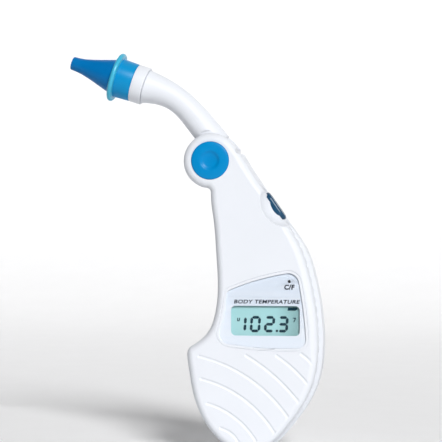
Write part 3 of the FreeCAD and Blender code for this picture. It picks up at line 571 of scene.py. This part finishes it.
def merged_copy(node, name, material, body, smooth_angle):
    """A copy of a CAD node, its loose triangles merged and its shading smoothed."""
    bm = bmesh.new()
    bm.from_mesh(frame["nodes"][node].data)
    bmesh.ops.remove_doubles(bm, verts=bm.verts, dist=2 * MERGE)
    piece = place_piece(name, smooth_mesh(name, bm, smooth_angle), material, body)
    shading = piece.modifiers.new("even_shading", "WEIGHTED_NORMAL")
    shading.keep_sharp = True
    shading.weight = 60
    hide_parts(node)
    return piece


def stand_for(piece, node):
    """Hides a CAD node that a piece stands in for."""
    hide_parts(node)


def turned(name, profile, foot, axis, material, body, smooth_angle=35.0, bevels=()):
    """A piece turned about an axis from (along, radius) points in millimetres.

    Each entry of bevels rounds the ring at (along, radius) by a width.
    """
    bm = bmesh.new()
    verts = [bm.verts.new((radius * MM, 0, along * MM)) for along, radius in profile]
    for first, second in zip(verts, verts[1:]):
        bm.edges.new((first, second))
    is_tube = profile[0][1] > 0 or profile[-1][1] > 0
    if is_tube:
        bm.edges.new((verts[-1], verts[0]))
    bmesh.ops.spin(
        bm, geom=bm.verts[:] + bm.edges[:], axis=(0, 0, 1), cent=(0, 0, 0), angle=math.tau,
        steps=sizes().spin_steps, use_merge=True,
    )
    bmesh.ops.remove_doubles(bm, verts=bm.verts, dist=MERGE)
    for along, radius, width in bevels:
        ring = [e for e in bm.edges if all(near_ring(v.co, along, radius) for v in e.verts)]
        bmesh.ops.bevel(
            bm, geom=ring, offset=width * MM, affect="EDGES", segments=4, profile=0.5, material=-1
        )
    turn = Vector((0, 0, 1)).rotation_difference(axis).to_matrix().to_4x4()
    bmesh.ops.transform(bm, matrix=Matrix.Translation(foot) @ turn, verts=bm.verts)
    return make_object(name, bm, material, body, smooth_angle)


def near_ring(co, along, radius):
    """Whether a point lies on the ring at a place along the Z axis, both in millimetres."""
    return abs(co.z / MM - along) < 0.02 and abs(math.hypot(co.x, co.y) / MM - radius) < 0.03


def flat_solid(bm, outline, y_front, y_back):
    """A thin solid in bm from an outline in the XZ plane."""
    face = bm.faces.new([bm.verts.new((x, y_back, z)) for x, z in outline])
    made = bmesh.ops.extrude_face_region(bm, geom=[face])
    raised = [v for v in made["geom"] if isinstance(v, bmesh.types.BMVert)]
    bmesh.ops.translate(bm, vec=(0, y_front - y_back, 0), verts=raised)


# ---------------------------------------------------------------- pieces
def probe_turned(name, profile, material, bevels=()):
    return turned(name, profile, PROBE_FOOT, PROBE_AXIS, material, "arm", bevels=bevels)


class ThermoOperator:
    bl_options = {"REGISTER", "UNDO"}


# The case's broad faces: the front is an arc about CROWN_MIDDLE, and the back is flat up to BACK_BEND.
CROWN_RADIUS = 0.85
CROWN_MIDDLE = PIVOT.z - 0.072
CROWN_FRONT = -0.025
BACK_RADIUS = 0.59
BACK_BEND = PIVOT.z - 0.05
NEAR_FACE = 4e-5
FACE_TURN = math.radians(14)


def front_face(z):
    """Depth and normal of the crowned front at a height."""
    rise = z - CROWN_MIDDLE
    return CROWN_FRONT + rise * rise / (2 * CROWN_RADIUS), Vector((0, -1, rise / CROWN_RADIUS)).normalized()


def back_face(z):
    """Depth and normal of the back, flat below its bend."""
    rise = max(0.0, z - BACK_BEND)
    return -rise * rise / (2 * BACK_RADIUS), Vector((0, 1, rise / BACK_RADIUS)).normalized()


def smooth_broad_face(piece, face_at):
    """Shades the long triangles of a broad face, and its rounded rim, with the face's own normals."""
    mesh = piece.data
    piece.modifiers.clear()
    normals = [Vector(n.vector) for n in mesh.corner_normals]
    for face in mesh.polygons:
        for corner in face.loop_indices:
            place = mesh.vertices[mesh.loops[corner].vertex_index].co
            depth, normal = face_at(place.z)
            if abs(place.y - depth) < NEAR_FACE and face.normal.angle(normal, math.pi) < FACE_TURN:
                normals[corner] = normal
    mesh.normals_split_custom_set(normals)


class THERMO_OT_case(ThermoOperator, bpy.types.Operator):
    """Front and rear shells of the case, smoothed and given their moulded finish"""

    bl_idname = "thermo.case"
    bl_label = "Case shells"

    def execute(self, context):
        for node, face_at in (("front_shell", front_face), ("rear_shell", back_face)):
            shell = merged_copy(node, node + "_skin", case_white(), "body", 32.0)
            smooth_broad_face(shell, face_at)
        return {"FINISHED"}


class THERMO_OT_arm(ThermoOperator, bpy.types.Operator):
    """The two halves of the folding arm and the collar at its end"""

    bl_idname = "thermo.arm"
    bl_label = "Folding arm"

    def execute(self, context):
        for node in ("arm_front_half", "arm_rear_half"):
            merged_copy(node, node + "_skin", case_white(), "arm", 40.0)
        outline = [
            (COLLAR_START, COLLAR_BORE), (COLLAR_START, COLLAR_RADIUS),
            (COLLAR_END, COLLAR_RADIUS), (COLLAR_END, COLLAR_BORE),
        ]
        rounds = [(COLLAR_START, COLLAR_RADIUS, 0.35), (COLLAR_END, COLLAR_RADIUS, 0.2)]
        stand_for(probe_turned("collar_band", outline, case_white(), rounds), "probe_collar")
        return {"FINISHED"}


class THERMO_OT_probe(ThermoOperator, bpy.types.Operator):
    """Probe base, stop ring and cone, open at its tip"""

    bl_idname = "thermo.probe"
    bl_label = "Probe"

    def execute(self, context):
        tip = sizes().tip_radius / MM
        ring = sizes().ring_radius / MM
        near_radius, far_radius = SLEEVE_RADII
        outline = [
            (SLEEVE_START, PROBE_BORE), (SLEEVE_START, near_radius),
            (RING_START, far_radius), (RING_START, PROBE_BORE),
        ]
        base = probe_turned("probe_base_sleeve", outline, base_blue(), [(SLEEVE_START, near_radius, 0.2)])
        stand_for(base, "probe_base")
        outline = [(RING_START, PROBE_BORE), (RING_START, ring), (CONE_START, ring), (CONE_START, PROBE_BORE)]
        rounds = [(RING_START, ring, RING_ROUND), (CONE_START, ring, RING_ROUND)]
        stand_for(probe_turned("stop_ring_band", outline, ring_cyan(), rounds), "stop_ring")
        outline = [
            (CONE_START, PROBE_BORE), (CONE_START, CONE_FOOT_RADIUS), *CONE_STATIONS, (CONE_TIP, tip),
            (CONE_TIP, TIP_BORE), (TIP_BORE_START, TIP_BORE), (CONE_HOLLOW_START, PROBE_BORE),
        ]
        rounds = [(CONE_TIP, tip, 0.35), (CONE_START, CONE_FOOT_RADIUS, 0.3)]
        cone = probe_turned("probe_cone_shell", outline, probe_blue(), rounds)
        stand_for(cone, "probe_cone")
        return {"FINISHED"}


# The release button's crown from its foremost ring outwards, as (depth behind that ring, radius) in
# millimetres, and its skirt and flange as places back from the pivot's plane.
CROWN_STATIONS = ((0.03, 5.6), (0.1, 6.6), (0.22, 7.4))
RIM_DROP = 0.62
DISH_FLOOR = ((0.85, 0.0), (0.82, 1.3))
FLANGE_FRONT = 17.1
FLANGE_BACK = 16.1
FLANGE_RADIUS = 9.0
SKIRT_BORE = 6.6
SKIRT_DEPTH = 19.9


class THERMO_OT_release(ThermoOperator, bpy.types.Operator):
    """Round release button with its domed rim and finger dish, and the spring behind it"""

    bl_idname = "thermo.release"
    bl_label = "Release button"

    def execute(self, context):
        front = -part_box("lock_button")[0][1] / MM
        rim = sizes().button_radius / MM
        dish = sizes().dish_radius / MM
        dish_wall = (
            (0.74, dish - 1.5), (0.56, dish - 0.8), (0.28, dish - 0.35), (0.06, dish - 0.02),
            (0.0, dish + 0.35),
        )
        rim_round = ((0.32, rim - 0.16), (RIM_DROP, rim))
        outline = [(front - drop, at) for drop, at in DISH_FLOOR + dish_wall + CROWN_STATIONS + rim_round]
        outline += [
            (FLANGE_FRONT, rim), (FLANGE_FRONT, FLANGE_RADIUS), (FLANGE_BACK, FLANGE_RADIUS),
            (FLANGE_BACK, SKIRT_BORE), (SKIRT_DEPTH, SKIRT_BORE), (SKIRT_DEPTH, 0.0),
        ]
        foot = Vector((PIVOT.x, 0, PIVOT.z))
        forwards = Vector((0, -1, 0))
        button = turned("release_cap", outline, foot, forwards, release_blue(), "release_button", 50.0)
        stand_for(button, "lock_button")
        plating = metal("spring_plating", (0.72, 0.66, 0.52), 0.3)
        spring = merged_copy("lock_spring", "release_spring", plating, "body", 60.0)
        spring.modifiers.clear()
        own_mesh(spring)
        return {"FINISHED"}


class THERMO_OT_scan(ThermoOperator, bpy.types.Operator):
    """Scan button on the case's edge"""

    bl_idname = "thermo.scan"
    bl_label = "Scan button"

    def execute(self, context):
        merged_copy("scan_button", "scan_button_cap", shaded_scan_blue(), "scan_button", 40.0)
        return {"FINISHED"}


SEGMENTS = {"0": "abcdef", "1": "bc", "2": "abged", "3": "abgcd"}


def bar(bm, x0, z0, x1, z1, width, y_front, y_back, lean, origin):
    """One pointed bar of a digit between two points."""
    along = Vector((x1 - x0, z1 - z0)).normalized()
    side = Vector((-along.y, along.x)) * (width / 2)
    a, b = Vector((x0, z0)), Vector((x1, z1))
    tip = along * (width / 2)
    points = [a, a + tip + side, b - tip + side, b, b - tip - side, a + tip - side]
    slant = math.tan(lean)
    outline = [(origin[0] + p.x + p.y * slant, origin[1] + p.y) for p in points]
    flat_solid(bm, outline, y_front, y_back)


def digit(bm, letter, x, z, wide, high, width, gap, lean, y_front, y_back):
    """A seven-bar digit whose lower left corner is at x, z."""
    half = high / 2
    bars = {
        "a": (gap, high, wide - gap, high), "b": (wide, high - gap, wide, half + gap),
        "c": (wide, half - gap, wide, gap),
        "d": (gap, 0, wide - gap, 0), "e": (0, gap, 0, half - gap), "f": (0, half + gap, 0, high - gap),
        "g": (gap, half, wide - gap, half),
    }
    for name in SEGMENTS[letter]:
        bar(bm, *bars[name], width, y_front, y_back, lean, (x, z))


# Small marks of the display, from its middle in millimetres: a bar, a cup on the left, a hook on the right.
SMALL_MARKS = (
    ((9.0, 4.2), (12.5, 4.2), (12.5, 4.5), (13.0, 4.5), (13.0, 5.5), (9.3, 5.5)),
    (
        (-11.9, -0.3), (-10.9, -0.3), (-10.6, 1.1), (-11.0, 1.1),
        (-11.2, 0.05), (-11.5, 0.05), (-11.4, 1.1), (-11.8, 1.1),
    ),
    (
        (11.3, 1.3), (12.6, 1.3), (12.4, 0.6), (11.8, -0.6),
        (11.4, -0.6), (11.9, 0.5), (12.0, 0.9), (11.3, 0.9),
    ),
)


# The digits' left edges from the display's middle, and their shared width, foot and bar gap.
READING = (("1", -0.012), ("0", -0.006125), ("2", -0.000225), ("3", 0.00535))
DIGIT_WIDTH = 0.00325
DIGIT_FOOT = 0.00425
BAR_GAP = 0.00008
POINT_LEFT = 0.0042
POINT_WIDTH = 0.0009
POINT_LOW = -0.0004
POINT_HIGH = 0.0005


def segment_marks(bm, y_front, y_back):
    """The reading with its point and the small marks round it."""
    s = sizes()
    high = s.digit_height - s.segment_width
    base = WINDOW.z - DIGIT_FOOT
    for letter, left in READING:
        digit(
            bm, letter, WINDOW.x + left, base, DIGIT_WIDTH, high, s.segment_width, BAR_GAP, s.digit_lean,
            y_front, y_back,
        )
    left, low, high = WINDOW.x + POINT_LEFT, base + POINT_LOW, base + POINT_HIGH
    right = left + POINT_WIDTH
    flat_solid(bm, [(left, low), (right, low), (right, high), (left, high)], y_front, y_back)
    for outline in SMALL_MARKS:
        flat_solid(bm, [(WINDOW.x + x * MM, WINDOW.z + z * MM) for x, z in outline], y_front, y_back)


BARS_FRONT = 0.00006
BARS_BACK = 0.00002


class THERMO_OT_display(ThermoOperator, bpy.types.Operator):
    """Lens, printed panel, liquid crystal and its bars"""

    bl_idname = "thermo.display"
    bl_label = "Display"

    def execute(self, context):
        merged_copy("display_lens", "window_lens", lens_clear(), "body", 25.0)
        merged_copy("panel_label", "panel_print", printed_panel(), "body", 25.0)
        merged_copy("lcd_panel", "liquid_cell", liquid_crystal(), "body", 25.0)
        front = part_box("lcd_panel")[0][1]
        bm = bmesh.new()
        segment_marks(bm, front - BARS_FRONT, front - BARS_BACK)
        ink = ink_material("segment_ink", (0.004, 0.03, 0.045), 0.4)
        make_object("display_digits", bm, ink, "body")
        return {"FINISHED"}


def surface_y(node, x, z):
    """Depth of a CAD node's front surface at a point."""
    mesh = frame["nodes"][node].data
    tree = BVHTree.FromPolygons([v.co for v in mesh.vertices], [p.vertices for p in mesh.polygons])
    place = tree.ray_cast(Vector((x, -0.1, z)), Vector((0, 1, 0)))[0]
    if place is None:
        raise RuntimeError(f"{node} has no surface at {x}, {z}")
    return place.y


PRINT_LIFT = 0.00014
SLOPE_STEP = 0.001


def printed_text(name, words, size, centre, material, bold, shear, stretch):
    """Words on the panel, made large and then brought to size, so that their fills stay clean."""
    curve = bpy.data.curves.new(name, "FONT")
    curve.body = words
    curve.align_x = "CENTER"
    curve.align_y = "CENTER"
    curve.extrude = 0.01
    curve.offset = bold
    curve.shear = shear
    curve.space_character = 1.08
    text = bpy.data.objects.new(name + "_curve", curve)
    bpy.context.scene.collection.objects.link(text)
    bpy.context.view_layer.update()
    mesh = bpy.data.meshes.new_from_object(text)
    mesh.transform(Matrix.Diagonal((size * stretch, size, size, 1.0)))
    bpy.data.objects.remove(text)
    y = surface_y("panel_label", *centre)
    slope = (surface_y("panel_label", centre[0], centre[1] + SLOPE_STEP) - y) / SLOPE_STEP
    turn = Matrix.Rotation(math.pi / 2 - math.atan(slope), 4, "X")
    mesh.transform(Matrix.Translation((centre[0], y - PRINT_LIFT, centre[1])) @ turn)
    place_piece(name, mesh, material, "body")


class THERMO_OT_print(ThermoOperator, bpy.types.Operator):
    """Plain words and units printed on the panel"""

    bl_idname = "thermo.print"
    bl_label = "Panel print"

    def execute(self, context):
        ink = ink_material("panel_ink", colours().ink, 0.5)
        heading = (WINDOW.x + 0.0004, WINDOW.z + 0.0078)
        unit = (WINDOW.x + 0.0098, WINDOW.z + 0.0138)
        printed_text("heading_print", "BODY TEMPERATURE", 0.0021, heading, ink, 0.02, 0.2, 1.27)
        printed_text("unit_print", "C/F", 0.0027, unit, ink, 0.035, 0.1, 1.0)
        return {"FINISHED"}


class THERMO_OT_back(ThermoOperator, bpy.types.Operator):
    """Cell door, pivot cover and case screws on the back"""

    bl_idname = "thermo.back"
    bl_label = "Back fittings"

    def execute(self, context):
        merged_copy("cell_door", "cell_door_disc", case_white(), "cell_door", 30.0)
        merged_copy("pivot_cover", "pivot_cover_disc", case_white(), "body", 30.0)
        zinc = metal("zinc_steel", (0.62, 0.63, 0.65), 0.28)
        merged_copy("case_screws", "case_screw_set", zinc, "body", 30.0)
        return {"FINISHED"}


INNER_FINISHES = {
    "dark_moulding": (
        (0.02, 0.02, 0.022), 0.45,
        ("lcd_holder", "scan_switch", "scan_switch_plunger", "unit_switch", "unit_plunger", "buzzer"),
    ),
    "resin_black": ((0.012, 0.012, 0.014), 0.3, ("controller_chip", "small_chips")),
    "pale_moulding": ((0.72, 0.7, 0.63), 0.4, ("cable_socket", "cable_plug", "pivot_washer")),
    "zebra_rubber": ((0.42, 0.4, 0.37), 0.6, ("contact_strips",)),
    "door_rubber": ((0.015, 0.015, 0.016), 0.65, ("cell_door_seal",)),
    "cable_sheath": ((0.09, 0.095, 0.1), 0.55, ("arm_cable", "body_cable")),
    "fired_tan": ((0.3, 0.17, 0.08), 0.5, ("passives",)),
    "window_smoke": ((0.03, 0.035, 0.05), 0.12, ("probe_window",)),
}
INNER_METALS = {
    "cell_plating": ((0.66, 0.66, 0.65), 0.24, ("coin_cell",)),
    "contact_plating": ((0.72, 0.66, 0.52), 0.3, ("side_contact", "face_contact", "sensor_pins")),
    "turned_brass": ((0.7, 0.5, 0.2), 0.25, ("pivot_sleeve",)),
    "gilt_bore": ((0.86, 0.6, 0.2), 0.12, ("wave_guide",)),
    "turned_alloy": ((0.7, 0.71, 0.73), 0.3, ("sensor_holder",)),
    "drawn_can": ((0.68, 0.68, 0.68), 0.22, ("infrared_sensor",)),
    "board_screw_zinc": ((0.62, 0.63, 0.65), 0.28, ("board_screws",)),
}


class THERMO_OT_inside(ThermoOperator, bpy.types.Operator):
    """Finishes for the pieces inside the case and the probe"""

    bl_idname = "thermo.inside"
    bl_label = "Inner pieces"

    def execute(self, context):
        for name, (colour, rough, nodes) in INNER_FINISHES.items():
            material = moulded(name, colour, rough, peel=0.8, cloud=0.1, marks=0.3, bump=1e-5)
            for node in nodes:
                paint(node, material)
        for name, (colour, rough, nodes) in INNER_METALS.items():
            material = metal(name, colour, rough)
            for node in nodes:
                paint(node, material)
        for node in ("circuit_board", "sensor_board"):
            paint(node, board_finish())
        return {"FINISHED"}


def paint(node, material):
    """Gives a CAD node one material in all its slots."""
    piece = frame["nodes"][node]
    if not piece.material_slots:
        piece.data.materials.append(material)
    for entry in piece.material_slots:
        entry.material = material


# ---------------------------------------------------------------- stage
def link_lamp(name, data, direction, place=(0, 0, 0)):
    lamp = bpy.data.objects.new(name, data)
    lamp.location = place
    lamp.rotation_euler = Vector(direction).to_track_quat("-Z", "Y").to_euler()
    bpy.context.scene.collection.objects.link(lamp)


def area_light(name, place, target, size, power):
    data = bpy.data.lights.new(name, "AREA")
    data.shape = "DISK"
    data.size = size
    data.energy = power
    link_lamp(name, data, Vector(target) - Vector(place), place)


SENSOR_WIDTH = 36.0
FLOOR_HALF_WIDTH = 2.4
FLOOR_FRONT = -1.6
FLOOR_BACK = 0.75
SWEEP_RADIUS = 0.5
SWEEP_STEPS = 16
WALL_HEIGHT = 2.2


def floor_sweep(floor_z):
    """The floor, which bends up behind into a plain wall."""
    rows = [(FLOOR_FRONT, floor_z), (FLOOR_BACK, floor_z)]
    for i in range(1, SWEEP_STEPS + 1):
        turn = math.pi / 2 * i / SWEEP_STEPS
        back, up = math.sin(turn), 1 - math.cos(turn)
        rows.append((FLOOR_BACK + SWEEP_RADIUS * back, floor_z + SWEEP_RADIUS * up))
    rows.append((FLOOR_BACK + SWEEP_RADIUS, floor_z + WALL_HEIGHT))
    bm = bmesh.new()
    strip = [bm.verts.new((-FLOOR_HALF_WIDTH, y, z)) for y, z in rows]
    edges = [bm.edges.new(pair) for pair in zip(strip, strip[1:])]
    made = bmesh.ops.extrude_edge_only(bm, edges=edges)
    moved = [v for v in made["geom"] if isinstance(v, bmesh.types.BMVert)]
    bmesh.ops.translate(bm, vec=(2 * FLOOR_HALF_WIDTH, 0, 0), verts=moved)
    bmesh.ops.recalc_face_normals(bm, faces=bm.faces)
    mesh = bpy.data.meshes.new("floor_sweep")
    bm.to_mesh(mesh)
    bm.free()
    mesh.shade_smooth()
    paper = moulded("floor_paper", colours().floor, 0.75, peel=0.3, cloud=0.01, marks=0.0, bump=2e-5)
    mesh.materials.append(paper)
    sweep = bpy.data.objects.new("floor_sweep", mesh)
    bpy.context.scene.collection.objects.link(sweep)


def view_camera(stage):
    """A level camera at the stage's azimuth, distance and width of view."""
    away = Vector((math.sin(stage.azimuth), -math.cos(stage.azimuth), 0))
    data = bpy.data.cameras.new("view_camera")
    data.sensor_width = SENSOR_WIDTH
    data.lens = SENSOR_WIDTH * stage.distance / stage.view_width
    camera = bpy.data.objects.new("view_camera", data)
    camera.location = Vector(stage.aim) + away * stage.distance
    camera.rotation_euler = (-away).to_track_quat("-Z", "Y").to_euler()
    bpy.context.scene.collection.objects.link(camera)
    bpy.context.scene.camera = camera


def soft_room(power):
    """Even room light, with a pale backdrop where the room itself is seen."""
    world = bpy.data.worlds.new("soft_room")
    world.use_nodes = True
    tree = world.node_tree
    room = tree.nodes["Background"]
    room.inputs["Color"].default_value = (1, 1, 1, 1)
    room.inputs["Strength"].default_value = power
    backdrop = add(tree, "ShaderNodeBackground", Color=(0.95, 0.95, 0.96, 1), Strength=0.9)
    seen = tree.nodes.new("ShaderNodeLightPath").outputs["Is Camera Ray"]
    blend = tree.nodes.new("ShaderNodeMixShader")
    for socket, source in zip(blend.inputs, (seen, room.outputs[0], backdrop.outputs[0])):
        tree.links.new(source, socket)
    tree.links.new(blend.outputs[0], tree.nodes["World Output"].inputs["Surface"])
    return world


class THERMO_OT_stage(ThermoOperator, bpy.types.Operator):
    """Pale floor and sweep, soft lights and camera"""

    bl_idname = "thermo.stage"
    bl_label = "Stage"

    def execute(self, context):
        stage = context.scene.thermo_stage
        floor_sweep(CAD_BOX[0][2])
        view_camera(stage)
        area_light("key_light", (0.35, -0.7, 0.6), (0, 0, 0.02), 0.35, stage.key_power)
        area_light("fill_light", (-0.75, -0.55, 0.1), (0, 0, 0), 0.6, stage.fill_power)
        area_light("top_light", (0.05, 0.1, 0.9), (0, 0, 0), 0.5, stage.top_power)
        broad = bpy.data.lights.new("front_light", "SUN")
        broad.energy = stage.sun_power
        broad.angle = math.radians(18)
        link_lamp("front_light", broad, (-0.5, 1.0, -0.65))
        context.scene.world = soft_room(stage.room_power)
        context.scene.view_settings.view_transform = "Standard"
        return {"FINISHED"}


class THERMO_PT_panel(bpy.types.Panel):
    """The thermometer's pieces, in the sidebar"""

    bl_label = "Folding ear thermometer"
    bl_idname = "THERMO_PT_panel"
    bl_space_type = "VIEW_3D"
    bl_region_type = "UI"
    bl_category = "Thermometer"

    def draw(self, context):
        layout = self.layout
        for name in SETTINGS:
            group = getattr(context.scene, name)
            box = layout.box()
            for key in group.bl_rna.properties.keys():
                if key not in ("rna_type", "name"):
                    box.prop(group, key)
        for operator in OPERATORS:
            layout.operator(operator.bl_idname)


SETTINGS = {
    "thermo_sizes": THERMO_PG_sizes, "thermo_colours": THERMO_PG_colours, "thermo_stage": THERMO_PG_stage,
}
OPERATORS = (
    THERMO_OT_case, THERMO_OT_arm, THERMO_OT_probe, THERMO_OT_release, THERMO_OT_scan, THERMO_OT_display,
    THERMO_OT_print, THERMO_OT_back, THERMO_OT_inside, THERMO_OT_stage,
)


CLASSES = (*SETTINGS.values(), *OPERATORS, THERMO_PT_panel)


def register():
    for item in CLASSES:
        bpy.utils.register_class(item)
    for name, group in SETTINGS.items():
        setattr(bpy.types.Scene, name, PointerProperty(type=group))


def unregister():
    for name in SETTINGS:
        delattr(bpy.types.Scene, name)
    for item in reversed(CLASSES):
        bpy.utils.unregister_class(item)


def main():
    register()
    bpy.ops.thermo.case()
    bpy.ops.thermo.arm()
    bpy.ops.thermo.probe()
    bpy.ops.thermo.release()
    bpy.ops.thermo.scan()
    bpy.ops.thermo.display()
    bpy.ops.thermo.print()
    bpy.ops.thermo.back()
    bpy.ops.thermo.inside()
    bpy.ops.thermo.stage()


if __name__ == "__main__":
    main()
